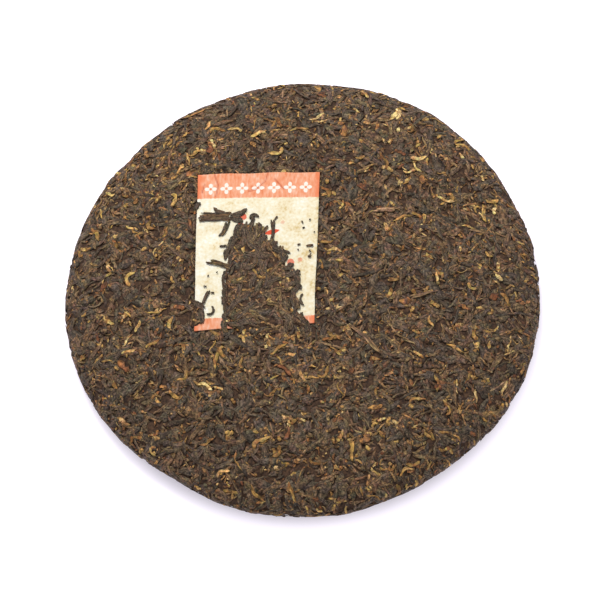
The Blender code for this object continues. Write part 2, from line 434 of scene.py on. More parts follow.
def leafBodies(rng, look, pathX, pathY, width, thick, height, chart, over, rank):
    # Each leaf's ring at each station: width and thickness along the outline, turned by the twist, roughened.
    count, stations = pathX.shape
    sides = look["sides"]
    t = np.linspace(0, 1, stations)
    angle = np.arctan2(np.gradient(pathY, axis=1), np.gradient(pathX, axis=1))
    shape = outline(t, rng.uniform(*look["blunt"], count)[:, None], look.get("end", 0.3))
    torn = rng.uniform(1 - look["ragged"], 1 + look["ragged"], (count, stations))
    half = 0.5 * width[:, None] * shape * torn
    deep = 0.5 * thick[:, None] * (0.45 + 0.55 * shape)
    twist = rng.normal(0, look["twist"], (count, 1)) + rng.normal(0, look["twist"], (count, 1)) * (t - 0.5)
    around = 2 * math.pi * np.arange(sides) / sides - math.pi / 2
    rough = rng.uniform(1 - look["crumple"], 1 + look["crumple"], (count, stations, sides))
    across = half[:, :, None] * np.cos(around) * rough
    proud = deep[:, :, None] * np.sin(around) * rough
    c, s = np.cos(twist)[:, :, None], np.sin(twist)[:, :, None]
    across, proud = across * c - proud * s, across * s + proud * c
    x = pathX[:, :, None] - np.sin(angle)[:, :, None] * across
    y = pathY[:, :, None] + np.cos(angle)[:, :, None] * across
    lift = pressed(x, y, height[:, :, None] + proud, chart, over[:, None, None])
    points = wrap(chart, x, y, lift).reshape(-1, 3)
    # Quads between the rings, and one face over each end.
    first = np.arange(count)[:, None] * stations * sides
    quads = first[:, :, None] + gridCorners(stations, sides, True)
    startCap = first + np.arange(sides)
    endCap = first + (stations - 1) * sides + np.arange(sides)[::-1]
    # UVs: t along the cell, the way round across it. The cell's row is the leaf's rank, dark to warm.
    cellX = rng.integers(0, atlas["columns"], count)
    cellY = np.clip(rank * atlas["rows"], 0, atlas["rows"] - 1).astype(int)
    station, side = np.meshgrid(np.arange(stations - 1), np.arange(sides), indexing="ij")
    u = (np.stack([station, station + 1, station + 1, station], -1) / (stations - 1)).reshape(-1, 4)
    v = (np.stack([side, side, side + 1, side + 1], -1) / sides).reshape(-1, 4)
    capU, capV = 0.03 + 0.02 * np.cos(around), 0.5 + 0.2 * np.sin(around)
    inner = 1 - 2 * atlas["margin"]

    def inCell(u, v):
        # Puts each leaf's own (u, v) into its cell.
        spread = (count,) + (1,) * np.ndim(u)
        return np.stack([(cellX.reshape(spread) + atlas["margin"] + inner * u) / atlas["columns"],
                         (cellY.reshape(spread) + atlas["margin"] + inner * v) / atlas["rows"]], -1)

    if chart is lowerChart:
        quads, u, v = quads[..., ::-1], u[..., ::-1], v[..., ::-1]
        startCap, endCap = startCap[:, ::-1], endCap[:, ::-1]
    quads = quads.reshape(-1, 4)
    caps = np.concatenate([startCap, endCap])
    uv = np.concatenate([inCell(u, v).reshape(-1, 2), inCell(capU, capV).reshape(-1, 2),
                         inCell(1 - capU, capV).reshape(-1, 2)])
    corners = np.concatenate([quads.ravel(), caps.ravel()])
    starts = np.concatenate([np.arange(len(quads)) * 4, len(quads) * 4 + np.arange(len(caps)) * sides])
    return points, corners, starts, uv


def joined(bodies):
    # Several lots of bodies as one: corner numbers and face starts move up by what came before.
    before = np.cumsum([0] + [len(b[0]) for b in bodies])
    cornersBefore = np.cumsum([0] + [len(b[1]) for b in bodies])
    return (np.concatenate([b[0] for b in bodies]),
            np.concatenate([b[1] + n for b, n in zip(bodies, before)]),
            np.concatenate([b[2] + n for b, n in zip(bodies, cornersBefore)]),
            np.concatenate([b[3] for b in bodies]))


def leafMaterial(name, look):
    # Dried, pressed and aged leaf: dull, grooved along its length, each leaf its own tint with darker patches,
    # and painted shade in the folds at both its sides, where shade would fall between leaves.
    material, tree, shader = newMaterial(name)
    uv = addNode(tree, "ShaderNodeUVMap", uv_map="OFBake")
    grid = addNode(tree, "ShaderNodeVectorMath",
                   {0: uv.outputs["UV"], 1: (atlas["columns"], atlas["rows"], 0)}, operation="MULTIPLY")
    cell = addNode(tree, "ShaderNodeVectorMath", {0: grid.outputs[0]}, operation="FLOOR")
    place = addNode(tree, "ShaderNodeVectorMath", {0: grid.outputs[0], 1: cell.outputs[0]},
                    operation="SUBTRACT")
    luck = addNode(tree, "ShaderNodeTexWhiteNoise", {"Vector": cell.outputs[0]}, noise_dimensions="2D")
    cellParts = addNode(tree, "ShaderNodeSeparateXYZ", {"Vector": cell.outputs[0]})
    rank = addNode(tree, "ShaderNodeMapRange",
                   {"Value": cellParts.outputs["Y"], "From Max": atlas["rows"] - 1,
                    "To Min": -0.12, "To Max": 0.88}, clamp=False)
    nudged = addNode(tree, "ShaderNodeMath", {0: luck.outputs["Value"], 1: 0.24, 2: rank.outputs[0]},
                     operation="MULTIPLY_ADD")
    tint = addNode(tree, "ShaderNodeValToRGB", {"Fac": nudged.outputs[0]})
    setRamp(tint, look["tints"])
    shifted = addNode(tree, "ShaderNodeVectorMath", {0: cell.outputs[0], 1: (7.31, 5.17, 3.7)},
                      operation="MULTIPLY")
    # Patches along the leaf of another tint: dust, a neighbour's stain or a bruise.
    patchAt = addNode(tree, "ShaderNodeVectorMath", {0: place.outputs[0], 1: (look["patches"], 1.6, 1),
                                                     2: shifted.outputs[0]}, operation="MULTIPLY_ADD")
    patch = addNode(tree, "ShaderNodeTexNoise", {"Vector": patchAt.outputs[0], "Scale": 1.0, "Detail": 3.0})
    patchShare = addNode(tree, "ShaderNodeMapRange",
                         {"Value": patch.outputs["Fac"], "From Min": 0.45, "From Max": 0.57,
                          "To Max": look["patched"]})
    otherLuck = addNode(tree, "ShaderNodeSeparateXYZ", {"Vector": luck.outputs["Color"]})
    otherTint = addNode(tree, "ShaderNodeValToRGB", {"Fac": otherLuck.outputs["Y"]})
    setRamp(otherTint, look["patchTints"])
    patched = addNode(tree, "ShaderNodeMix",
                      {0: patchShare.outputs[0], 6: tint.outputs["Color"], 7: otherTint.outputs["Color"]},
                      data_type="RGBA")
    # Red, green and blue each vary a little along the leaf.
    speckle = addNode(tree, "ShaderNodeVectorMath",
                      {0: patch.outputs["Color"], 1: (0.9, 0.6, 1.1), 2: (0.55, 0.7, 0.43)},
                       operation="MULTIPLY_ADD")
    speckled = addNode(tree, "ShaderNodeVectorMath", {0: patched.outputs[2], 1: speckle.outputs[0]},
                       operation="MULTIPLY")
    # Grooves run along the leaf: many across it, few along it.
    grooveAt = addNode(tree, "ShaderNodeVectorMath",
                       {0: place.outputs[0], 1: (*look["grooves"], 1), 2: shifted.outputs[0]},
                       operation="MULTIPLY_ADD")
    groove = addNode(tree, "ShaderNodeTexNoise",
                     {"Vector": grooveAt.outputs[0], "Scale": 1.0, "Detail": 4.0, "Roughness": 0.75})
    grainAt = addNode(tree, "ShaderNodeVectorMath",
                      {0: place.outputs[0], 1: (*look["grain"], 1), 2: shifted.outputs[0]},
                      operation="MULTIPLY_ADD")
    grain = addNode(tree, "ShaderNodeTexNoise",
                    {"Vector": grainAt.outputs[0], "Scale": 1.0, "Detail": 4.0, "Roughness": 0.75})
    uneven = addNode(tree, "ShaderNodeMath", {0: groove.outputs["Fac"], 1: grain.outputs["Fac"]},
                     operation="ADD")
    grooveShade = addNode(tree, "ShaderNodeMapRange",
                          {"Value": groove.outputs["Fac"], "From Min": 0.38, "From Max": 0.62,
                           "To Min": 1 - 0.7 * look["contrast"], "To Max": 1 + 0.7 * look["contrast"]})
    grainShade = addNode(tree, "ShaderNodeMapRange",
                         {"Value": grain.outputs["Fac"], "From Min": 0.41, "From Max": 0.59,
                          "To Min": 1 - 0.9 * look["contrast"], "To Max": 1 + look["contrast"]})
    shade = addNode(tree, "ShaderNodeMath", {0: grooveShade.outputs[0], 1: grainShade.outputs[0]},
                    operation="MULTIPLY")
    # Painted shade: the folds at both sides of the leaf, a quarter of the way round from its top line, and the
    # underside beyond them are painted darker.
    parts = addNode(tree, "ShaderNodeSeparateXYZ", {"Vector": place.outputs[0]})
    fromTop = addNode(tree, "ShaderNodeMath", {0: parts.outputs["Y"], 1: 0.5}, operation="SUBTRACT")
    aside = addNode(tree, "ShaderNodeMath", {0: fromTop.outputs[0]}, operation="ABSOLUTE")
    # fold is the painted shade towards the leaf's sides
    fold = addNode(tree, "ShaderNodeMapRange",
                   {"Value": aside.outputs[0], "From Min": 0.1, "From Max": 0.27,
                    "To Min": 1.0, "To Max": look["paintedFoldShade"]})
    both = addNode(tree, "ShaderNodeMath", {0: shade.outputs[0], 1: fold.outputs[0]}, operation="MULTIPLY")
    colour = addNode(tree, "ShaderNodeVectorMath", {0: speckled.outputs[0], "Scale": both.outputs[0]},
                     operation="SCALE")
    tree.links.new(colour.outputs[0], shader.inputs["Base Color"])
    rough = addNode(tree, "ShaderNodeMapRange",
                    {"Value": uneven.outputs[0], "From Min": 0.75, "From Max": 1.25,
                     "To Min": look["roughness"] + 0.1, "To Max": look["roughness"] - 0.1})
    tree.links.new(rough.outputs[0], shader.inputs["Roughness"])
    bump = addNode(tree, "ShaderNodeBump",
                   {"Height": uneven.outputs[0], "Strength": look["bump"], "Distance": 0.2 * mm})
    tree.links.new(bump.outputs["Normal"], shader.inputs["Normal"])
    shader.inputs["Specular IOR Level"].default_value = 0.3
    return material


def scatter(rng, count, reach, jitter=1.0):
    # A sunflower spread over the chart's disc: reach * sqrt(i / n) at golden angles, each moved at random.
    i = np.arange(count) + 0.5
    r = reach * np.sqrt(i / count)
    turn = i * math.pi * (3 - math.sqrt(5))
    move = jitter * reach / math.sqrt(count)
    return r * np.cos(turn) + rng.normal(0, move, count), r * np.sin(turn) + rng.normal(0, move, count)


# Broad areas of redder (plus) or duller, greener (minus) leaf: x, y and radius in mm, then how strong.
warmAreas = ((-52, 62, 26, 0.6), (20, 32, 14, 0.7), (-38, -42, 13, 0.8), (62, 60, 20, 0.5), (4, -44, 12, 0.6),
             (-30, -78, 26, -1.1), (-76, 10, 18, -0.5), (30, -76, 14, 0.5), (-5, 74, 16, -0.5),
             (60, -60, 16, 0.3))


def warmth(x, y):
    # The sum of strength * exp(-(distance / radius) ^ 2) over the areas.
    return sum(strength * np.exp(-((x - areaX * mm) ** 2 + (y - areaY * mm) ** 2) / (radius * mm) ** 2)
               for areaX, areaY, radius, strength in warmAreas)


def paintedRimShade(x, y):
    # 0 on the dome, 1 where the rim turns under: there the leaves are painted darker, as shade under the rim.
    return smoothStep((np.hypot(x, y) - rimReach + 3 * mm) / (6 * mm))


def scatteredBodies(look, chart):
    # One kind of leaf, all over one chart; on the ticket only where tea covers it.
    rng = np.random.default_rng(look["seed"])
    x, y = scatter(rng, look["count"], look.get("reach", footReach))
    if "drift" in look:
        # The kind lies in drifts: it is thinned where its own broad noise is low.
        drift = lumps(x, y, 0, look["drift"] * mm, look["seed"])
        # Where the rim turns under, this kind is thinned out: painted shade.
        chance = 0.5 + 0.9 * drift + 0.25 * warmth(x, y) - 0.5 * paintedRimShade(x, y)
        keep = rng.random(len(x)) < np.clip(chance, 0.05, 1)
        x, y = x[keep], y[keep]
    lo, mid, hi = look["length"]
    length = np.clip(mid * np.exp(rng.normal(0, look["spread"], len(x))), lo, hi) * mm
    # Neighbours lie roughly one way: the direction wanders with a broad noise.
    direction = 5 * lumps(x, y, 0, 11 * mm, 21.0) + rng.uniform(-1.2, 1.2, len(x))
    direction = direction + rng.integers(0, 2, len(x)) * math.pi
    bend = rng.normal(0, look["bend"], len(x))
    pathX, pathY = leafPaths(rng, x, y, direction, length, bend, look["wiggle"], look["stations"])
    over = np.zeros(len(x))
    if chart is upperChart:
        onPaper = insideTicket(pathX, pathY) > 0.5 * mm
        stray = (onPaper & (insideCover(pathX, pathY) < -look.get("overhang", 0.3) * mm)).any(1)
        over = (onPaper.any(1) & ~stray & (insideCover(x, y) > 0.6 * mm)).astype(float)
        over *= rng.random(len(x)) < look.get("coverShare", 1)
        keep = (over > 0) | (insideTicket(x, y) < 0.6 * mm)
        pathX, pathY, length, over = pathX[keep], pathY[keep], length[keep], over[keep]
    count = len(pathX)
    t = np.linspace(0, 1, look["stations"])
    base = rng.uniform(*look["level"], (count, 1))
    tilt = rng.normal(0, 0.14, (count, 1)) * (2 * t - 1)
    dip = rng.uniform(0.0, look["dip"], (count, 1)) * (2 * t - 1) ** 2
    turns = t * rng.uniform(0.8, 1.9, (count, 1)) + rng.random((count, 1))
    wave = look["wave"] * np.sin(2 * math.pi * turns)
    height = (base + tilt - dip + wave) * mm
    width = rng.uniform(*look["width"], count) * mm
    thick = rng.uniform(*look["thick"], count) * mm
    midX, midY = pathX.mean(1), pathY.mean(1)
    rank = 0.5 + 0.44 * rng.uniform(-1, 1, count) + 0.24 * lumps(midX, midY, 0, 7 * mm, 31.0)
    rank = rank + 0.07 * warmth(midX, midY)
    # Darker tints where the rim turns under: painted shade.
    rank = rank + 0.25 * over - 0.35 * paintedRimShade(midX, midY)
    return leafBodies(rng, look, pathX, pathY, width, thick, height, chart, over, rank)


def placedBodies(look, items):
    # Leaves laid one by one, each an arc about its middle: x and y in mm from the ticket's middle, turn and
    # bend in degrees, length and width in mm. A wide one is narrow folds side by side, each torn off at its
    # own place.
    rng = np.random.default_rng(look["seed"] + 100)
    foldWidth, overlap = 0.8, 1.45
    waver, stations = 0.12, 10
    folded = []
    for item in items:
        folds = max(1, round(item["width"] / foldWidth))
        rank = item.get("rank", rng.uniform(0.1, 0.45))
        turn = math.radians(item["turn"])
        for fold in range(folds):
            torn, shift = (rng.uniform(0, 0.28), rng.uniform(-0.1, 0.1)) if folds > 1 else (0, 0)
            aside = 0.85 * item["width"] * ((fold + 0.5) / folds - 0.5)
            along = shift * item["length"]
            folded.append((
                item["at"][0] + along * math.cos(turn) - aside * math.sin(turn),
                item["at"][1] + along * math.sin(turn) + aside * math.cos(turn),
                turn, item["length"] * (1 - torn), math.radians(item.get("bend", 0)),
                item["width"] / folds * (overlap if folds > 1 else 1),
                item.get("height", 0.1) + rng.uniform(-0.12, 0.2) * (folds > 1),
                np.clip(rank + rng.uniform(-0.15, 0.15), 0, 1), item.get("end", 0.5)))
    x, y, turn, length, bend, width, height, rank, end = np.array(folded).T
    x, y, length, width = x * mm + ticketShape["x"], y * mm + ticketShape["y"], length * mm, width * mm
    pathX, pathY = leafPaths(rng, x, y, turn, length, bend, waver, stations)
    over = (insideTicket(pathX, pathY).max(1) > 0).astype(float)
    placedLook = {**look, "sides": 6, "ragged": 0.25, "crumple": 0.22, "twist": 0.15, "blunt": (5, 12),
                  "end": end[:, None]}
    height = height[:, None] * mm + 0 * pathX
    thick = 0.35 * mm + 0.3 * width
    return leafBodies(rng, placedLook, pathX, pathY, width, thick, height, upperChart, over, rank)


def coverSides(y):
    # The left and right edges of the tea over the ticket at y, all in mm from the ticket's middle.
    return [np.interp(y, coverRows[:, 0] / mm, coverRows[:, side] / mm) for side in (1, 2)]


def edgeLeaves(seed, step):
    # One leaf every step mm down both sides of the tea over the ticket, lying more or less along the side.
    rng = np.random.default_rng(seed)
    return [{"at": (edge + rng.uniform(-0.7, 0.5) * side, y), "turn": 90 + rng.normal(0, 24),
             "bend": rng.uniform(-50, 50), "length": rng.uniform(4, 8), "width": rng.uniform(1.3, 2.6)}
            for y in np.arange(-36, 9, step) for side, edge in zip((-1, 1), coverSides(y))]


def coverLeaves(seed, count, length, width, rank):
    # Leaves anywhere on the tea over the ticket, standing a little proud of it.
    rng = np.random.default_rng(seed)
    found = []
    for y in rng.uniform(-38, 8, count):
        left, right = coverSides(y)
        found.append({"at": (left + (right - left) * rng.uniform(0.12, 0.88), y), "turn": rng.uniform(0, 180),
                      "bend": rng.uniform(-80, 80), "length": rng.uniform(*length),
                      "width": rng.uniform(*width), "height": 0.35, "rank": rank})
    return found


def paperSpecks(seed, count, left, right, low, high):
    # Loose broken bits on the bare paper, within a rectangle in mm from the ticket's middle.
    rng = np.random.default_rng(seed)
    return [{"at": (rng.uniform(left, right), rng.uniform(low, high)), "turn": rng.uniform(0, 180),
             "length": rng.uniform(0.4, 1.6), "width": rng.uniform(0.4, 1.1)} for _ in range(count)]


darkLeaf = {
    "seed": 11, "count": 1900, "length": (4.5, 8, 16), "width": (1.2, 2.7), "thick": (0.5, 0.9),
    "stations": 7, "sides": 6, "bend": 0.4, "wiggle": 0.3, "blunt": (2.5, 7), "ragged": 0.2,
    "crumple": 0.18, "twist": 0.3, "spread": 0.4, "level": (-0.6, 0.2), "dip": 0.5, "wave": 0.12,
    "overhang": 0.9,
    "tints": [(0.0, "#403428"), (0.25, "#4b4034"), (0.5, "#564739"), (0.75, "#634f3a"), (1.0, "#70573d")],
    "patches": 2.4, "patched": 0.45,
    "patchTints": [(0.0, "#2a2016"), (0.35, "#43423a"), (0.6, "#5a3c24"), (0.8, "#3a2f25"), (1.0, "#836643")],
    "grooves": (2.5, 8), "grain": (9, 6), "contrast": 0.8, "paintedFoldShade": 0.5, "roughness": 0.7, "bump": 0.9,
}
shortLeaf = {
    **darkLeaf, "seed": 12, "count": 3200, "length": (2, 4.4, 8), "width": (0.9, 2.0), "thick": (0.4, 0.75),
    "stations": 6, "sides": 5, "bend": 0.5, "level": (-0.55, 0.25), "wave": 0.14, "overhang": 0.7,
    "tints": [(0.0, "#44372b"), (0.25, "#504438"), (0.5, "#5f4e3b"), (0.75, "#6e573d"), (1.0, "#7f6242")],
    "grooves": (2, 6), "grain": (5.5, 5),
}
brownLeaf = {
    **darkLeaf, "seed": 13, "count": 4300, "drift": 7,
    "length": (1.8, 3.9, 8), "width": (0.7, 1.6), "thick": (0.4, 0.65),
    "stations": 6, "sides": 5, "bend": 0.55, "ragged": 0.3, "level": (-0.5, 0.26), "wave": 0.16,
    "overhang": 0.6,
    "tints": [(0.0, "#655136"), (0.3, "#776041"), (0.6, "#866a44"), (0.85, "#8e643b"), (1.0, "#a17647")],
    "patches": 3.0, "patched": 0.75, "grooves": (2, 6), "grain": (5, 4.5),
}
flatLeaf = {
    **darkLeaf, "seed": 14, "count": 1900, "length": (3.0, 6.5, 12), "width": (2.2, 5.2), "thick": (0.3, 0.5),
    "stations": 6, "sides": 6, "bend": 0.3, "wiggle": 0.3, "blunt": (2.0, 4), "ragged": 0.28, "crumple": 0.14,
    "twist": 0.1, "level": (-0.5, 0.22), "dip": 0.3, "overhang": 0.0, "patches": 3.4, "patched": 0.6,
    "tints": [(0.0, "#45392d"), (0.3, "#4d4236"), (0.6, "#564839"), (0.85, "#614f3a"), (1.0, "#6d543c")],
    "grooves": (4, 12), "grain": (8, 11), "paintedFoldShade": 0.65,
}
redFlake = {
    **darkLeaf, "seed": 15, "count": 1150, "drift": 9, "coverShare": 0.3,
    "length": (1.4, 2.8, 5), "width": (0.9, 2.1), "thick": (0.3, 0.5),
    "stations": 5, "sides": 5, "bend": 0.4, "ragged": 0.3, "level": (-0.4, 0.22), "dip": 0.3,
    "tints": [(0.0, "#63381f"), (0.35, "#7c4b2a"), (0.65, "#935e33"), (1.0, "#a67540")],
    "patches": 2.5, "patched": 0.8, "grooves": (3, 6), "grain": (4, 5), "contrast": 0.6,
}
goldenBud = {
    **darkLeaf, "seed": 16, "count": 2050, "drift": 8, "coverShare": 0.4,
    "length": (1.3, 3.4, 9), "width": (0.8, 2.1), "thick": (0.35, 0.6),
    "stations": 7, "sides": 5, "bend": 0.7, "wiggle": 0.45, "blunt": (3, 8), "ragged": 0.3, "spread": 0.5,
    "crumple": 0.2, "twist": 0.3, "level": (-0.35, 0.34), "dip": 0.4, "wave": 0.18, "overhang": 0.4,
    "tints": [(0.0, "#7c5c31"), (0.3, "#967541"), (0.55, "#ab8a50"), (0.8, "#c1a063"), (1.0, "#d0b47c")],
    "patches": 3.2, "patched": 0.75,
    "patchTints": [(0.0, "#5f4224"), (0.4, "#774e28"), (0.7, "#96713f"), (1.0, "#c49b5d")],
    "grooves": (2, 5), "grain": (4.5, 4), "contrast": 0.5, "paintedFoldShade": 0.42, "roughness": 0.75,
}
# The larger ones of both kinds lie on top, where they show whole.
broadRedFlake = {
    **redFlake, "seed": 25, "count": 70, "coverShare": 0, "length": (3, 5, 8), "width": (1.7, 3.2),
    "level": (0.6, 1.4), "stations": 7, "ragged": 0.45, "wiggle": 0.4,
}
longBud = {
    **goldenBud, "seed": 26, "count": 270, "coverShare": 0, "length": (4, 6.5, 11), "width": (1.1, 2.2),
    "spread": 0.3, "bend": 1.2, "level": (0.9, 2.0), "stations": 9,
    "tints": [(0.0, "#7c5c31"), (0.4, "#937140"), (0.8, "#ab874b"), (1.0, "#b9975b")],
}
stem = {
    **darkLeaf, "seed": 17, "count": 90, "length": (4, 8, 17), "width": (0.8, 1.3), "thick": (0.7, 1.0),
    "stations": 8, "sides": 7, "bend": 0.15, "wiggle": 0.06, "blunt": (14, 30), "ragged": 0.08,
    "crumple": 0.08, "twist": 0.1, "level": (-0.3, 0.1), "dip": 0.2, "wave": 0.08, "overhang": 0.2,
    "tints": [(0.0, "#5a4534"), (0.35, "#72553c"), (0.7, "#8c6c4e"), (1.0, "#b08c68")],
    "patches": 3.0, "patched": 0.7, "grooves": (2, 12), "grain": (9, 5), "contrast": 0.5, "paintedFoldShade": 0.5,
    "roughness": 0.65,
}
crumb = {
    **shortLeaf, "seed": 18, "count": 6500, "drift": 6, "coverShare": 0.6,
    "length": (0.6, 1.5, 3.2), "width": (0.5, 1.2), "thick": (0.3, 0.5),
    "stations": 3, "sides": 5, "bend": 0.5, "wiggle": 0.1, "ragged": 0.35, "level": (-0.25, 0.34), "dip": 0.2,
    "wave": 0.0, "overhang": 0.0, "grooves": (1.5, 3), "grain": (3, 3), "contrast": 0.5,
    "tints": [(0.0, "#3a2d20"), (0.25, "#60492f"), (0.45, "#7f5c38"), (0.6, "#6f4526"), (0.75, "#957043"),
              (0.9, "#a98450"), (1.0, "#ceac72")],
    "patchTints": [(0.0, "#2f2519"), (0.5, "#6b4a2a"), (1.0, "#9a7846")],
}
underLeaf = {
    **shortLeaf, "seed": 19, "count": 2500, "length": (3, 6, 10), "width": (1.4, 3.0), "thick": (0.4, 0.7),
    "stations": 5, "reach": 82 * mm,
    "tints": [(0.0, "#392f25"), (0.3, "#54442f"), (0.5, "#464238"), (0.75, "#68543c"), (0.92, "#78603f"),
              (1.0, "#a58354")],
}

def oneLeaf(x, y, turn, length, width, **more):
    # One leaf for placedBodies: its middle, turn, length and width, and anything else that it sets.
    return {"at": (x, y), "turn": turn, "length": length, "width": width, **more}


# The leaves that are told apart over the ticket: the long flat one at the upper left with its two dark edges.
longLeaf = [
    oneLeaf(-18, 15, 0, 14, 4.5, end=0.85, rank=0.8),
    oneLeaf(-18, 16.5, -4, 12, 0.8, height=0.5, rank=0.05),
    oneLeaf(-18, 13.5, 2, 13, 0.8, height=0.5, rank=0.05),
    oneLeaf(-8, 16, 22, 8, 2.5),
    oneLeaf(-8.5, 13.5, -18, 6, 2.5),
    oneLeaf(-16, 17.5, -25, 6, 1.5),
    oneLeaf(-13.5, 9.5, 65, 9, 1.8, bend=35),
]
# Those that stand up from the crown: the hooked one, its curled neighbour, and the long one to the right.
crownLeaves = [
    oneLeaf(-2.5, 10, 80, 11, 1.5, bend=-25),
    oneLeaf(-1.5, 15, 10, 5, 1.5, bend=-130),
    oneLeaf(-8.5, 8.5, 90, 10, 1.6, bend=-100, height=0.4),
    oneLeaf(-3.5, 7, 100, 10, 1.6, bend=70, height=0.5, rank=0.6),
    oneLeaf(-6.5, 1.5, 60, 9, 1.8, bend=120, height=0.5, rank=0.5),
    oneLeaf(4, 1, 55, 11, 1.8, bend=-60, height=0.5, rank=0.6),
    oneLeaf(-5, 8, 88, 8, 2),
    oneLeaf(1, 7.5, 70, 6, 2.2),
    oneLeaf(2, 3.5, 60, 7, 2.6),
    oneLeaf(6, 6, 78, 18, 1.4, bend=40),
    oneLeaf(8, 14, 55, 2, 1),
]
# The shoulders, the foot, the corner clump with its stalk, and two that cross the paper's sides.
sideLeaves = [
    oneLeaf(10.5, -1.5, -27, 10, 2.8),
    oneLeaf(7.5, 2, 8, 4, 1.6),
    oneLeaf(-10.5, 2, 80, 8, 3),
    oneLeaf(-14, 1, 8, 3, 1.2),
    oneLeaf(16, -12, 10, 7, 2.6),
    oneLeaf(16.5, -16, 38, 6, 2.4),
    oneLeaf(19, -32, -40, 8, 2),
    oneLeaf(-20.5, -22.5, 70, 7, 1.3),
    oneLeaf(-18, -29, 60, 6, 1.1, bend=170),
    oneLeaf(-23.5, -26, -35, 7, 2.4),
    oneLeaf(-22, -31, 95, 9, 2.2),
    oneLeaf(19.5, -24, 95, 6, 1.1, bend=-110),
    oneLeaf(22.5, 1, 10, 3, 1.2),
    oneLeaf(-26, 20.5, 60, 4, 2),
]
fingers = [
    oneLeaf(-15, -7.5, -18, 11, 2.3, height=0.2),
    oneLeaf(17, -25, 108, 9, 2.6),
]
longStems = [
    oneLeaf(46, -41, -45, 20, 1.6, height=4, rank=0.75),
    oneLeaf(54, 18, 3, 12, 1.7, height=4, rank=0.95),
    oneLeaf(70, -21, 15, 12, 1.3, height=4, rank=0.75),
]
placedDark = longLeaf + crownLeaves + sideLeaves + edgeLeaves(41, 3.4)
placedDark += coverLeaves(46, 26, (6, 12), (1.6, 3.4), 0.5)
placedDark += paperSpecks(42, 12, 16, 24.5, -14, 14) + paperSpecks(43, 4, -21, -16, -21, -10)
placedBrown = fingers + coverLeaves(44, 11, (6, 12), (1.6, 2.6), 0.3)
placedGolden = coverLeaves(45, 8, (2, 5), (0.7, 1.3), 0.4)

kinds = [("longDarkLeaves", [darkLeaf], placedDark), ("shortDarkLeaves", [shortLeaf], []),
         ("brownLeaves", [brownLeaf], placedBrown), ("flatLeafPatches", [flatLeaf], []),
         ("redLeafFlakes", [redFlake, broadRedFlake], []), ("goldenBuds", [goldenBud, longBud], placedGolden),
         ("woodyStems", [stem], longStems), ("teaCrumbs", [crumb], []), ("undersideLeaves", [underLeaf], [])]
for name, looks, placed in kinds:
    look = looks[0]
    chart = lowerChart if look is underLeaf else upperChart
    bodies = [scatteredBodies(each, chart) for each in looks]
    if placed:
        bodies.append(placedBodies(look, placed))
    piece = meshPiece(name, *joined(bodies), leafMaterial("dried" + name[0].upper() + name[1:], look))
    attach(piece, "root")
    print(name, "made,", len(piece.data.polygons), "faces")


def coverMound(name, rows):
    # The imported tea between ticket and cover leaves: across each row of (y, left, right) a flattened ring,
    # in the bed's near-black colour that is painted shade for the gaps.
    steps, sides = 130, 96
    y = np.linspace(rows[0, 0], rows[-1, 0], steps)
    left, right = (np.interp(y, rows[:, 0], rows[:, side]) for side in (1, 2))
    inset = 0.5 * mm
    around = 2 * math.pi * np.arange(sides) / sides
    half = np.maximum(0.5 * (right - left) - inset, 0.2 * mm)[:, None]
    ends = np.minimum(1, np.sqrt(np.abs(np.linspace(0, 1, steps) * 14)))[:, None] * np.minimum(
        1, np.sqrt(np.abs(np.linspace(1, 0, steps) * 14)))[:, None]
    x = 0.5 * (left + right)[:, None] + half * ends * np.cos(around)
    ragged = 0.5 * mm * lumps(x, y[:, None], 0, 2.2 * mm, 9.0)
    x, y = x + ragged + ticketShape["x"], y[:, None] + ticketShape["y"] + 0 * x
    top = np.sin(around) > 0
    relief = (0.2 * lumps(x, y, 0, 1.9 * mm, 7.0) + 0.12 * lumps(x, y, 0, 0.9 * mm, 8.0)) * mm
    rise = (1.05 * smoothStep((insideTicket(x, y) + 1.2 * mm) / (2 * mm)) - 0.6) * mm
    lift = np.where(top, rise + relief, -0.5 * mm) * np.abs(np.sin(around)) ** 0.35
    points = wrap(upperChart, x, y, lift * ends).reshape(-1, 3)
    quads = gridCorners(steps, sides, True)[:, ::-1]
    caps = np.concatenate([np.arange(sides)[::-1], (steps - 1) * sides + np.arange(sides)])
    corners = np.concatenate([quads.ravel(), caps])
    starts = np.concatenate([np.arange(len(quads)) * 4, len(quads) * 4 + np.arange(2) * sides])
    # near black: painted shade in the gaps between the cover leaves
    mound = meshPiece(name, points, corners, starts, None, bpy.data.materials["packedTeaWithGapShade"])
    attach(mound, "root")


clumpY = np.linspace(-1, 1, 15)
clumpHalf = cornerClump["halfWidth"] * np.sqrt(1 - clumpY ** 2)
clumpRows = np.stack([cornerClump["y"] + clumpY * cornerClump["halfLength"], cornerClump["x"] - clumpHalf,
                      cornerClump["x"] + clumpHalf], -1)
coverMound("coverMound", coverRows)
coverMound("cornerMound", clumpRows)
print("tea over the ticket made")


ticketLook = {
    "columns": 100, "rows": 140, "thickness": 0.12 * mm, "headBand": 24.0, "footBand": -31.5,
    "paper": [(0.35, "#efeee6"), (0.46, "#e5e3cd"), (0.56, "#e0d7b8"), (0.68, "#c9b37c")],
    "ink": [(0.3, "#d2794f"), (0.45, "#de9470"), (0.56, "#e2a688"), (0.72, "#e8cbb9")],
    # crease is the colour of the painted shade along the creases
    "freshInk": "#dd7950", "markInk": "#d3573c", "crease": "#a9452a", "ornament": "#ebe4dc",
    "ornamentGap": 6.8, "ornamentY": 28.7, "ornamentSize": 2.7,
    # plain round marks: x, y and radius in mm, then how strong the ink is
    "marks": [(15, -7, 1.7, 0.8), (19, -6, 1.2, 0.5), (-13, -12, 1.5, 0.6), (11, 12, 1, 0.35),
              (-6, 15, 1.6, 0.9), (-7, 11, 1.6, 0.9)],
    "leafMark": {"x": 6.5, "y": 7.5, "turn": 15, "halfLength": 3.5, "halfWidth": 1.2},
}


